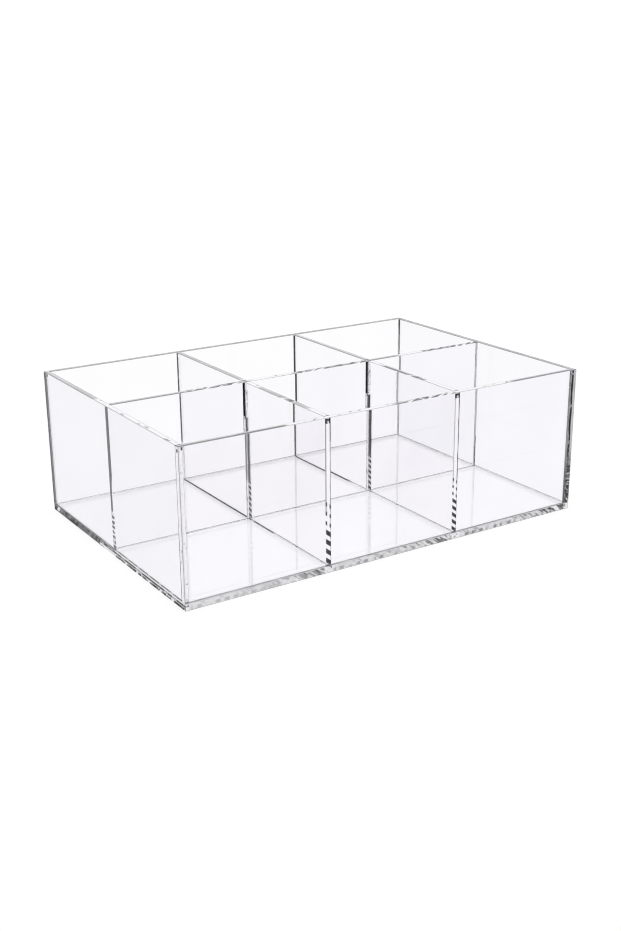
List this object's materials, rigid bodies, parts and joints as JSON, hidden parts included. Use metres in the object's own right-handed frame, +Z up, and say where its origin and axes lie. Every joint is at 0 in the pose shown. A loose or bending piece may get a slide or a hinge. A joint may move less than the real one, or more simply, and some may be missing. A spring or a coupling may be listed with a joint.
{
  "type": "drawer organizer",
  "caption": "Clear acrylic drawer organizer: an open-topped rectangular tray of flat sheets, parted into equal, nearly square compartments by dividers that cross in lap slots.",
  "frame": {"origin": "middle of the underside of the base plate", "axes": "+X along the length to the right, +Y from the front wall to the back wall, +Z up out of the open top"},
  "size_m": [0.3048, 0.2032, 0.1016],
  "materials": {
    "clear_acrylic": "clear see-through acrylic sheet, polished faces, sawn and polished edges"
  },
  "bodies": {
    "root": {"base_plate": "clear_acrylic", "front_wall": "clear_acrylic", "right_wall": "clear_acrylic", "back_wall": "clear_acrylic", "left_wall": "clear_acrylic", "long_divider": "clear_acrylic", "cross_divider_left": "clear_acrylic", "cross_divider_right": "clear_acrylic"}
  },
  "joints": []
}
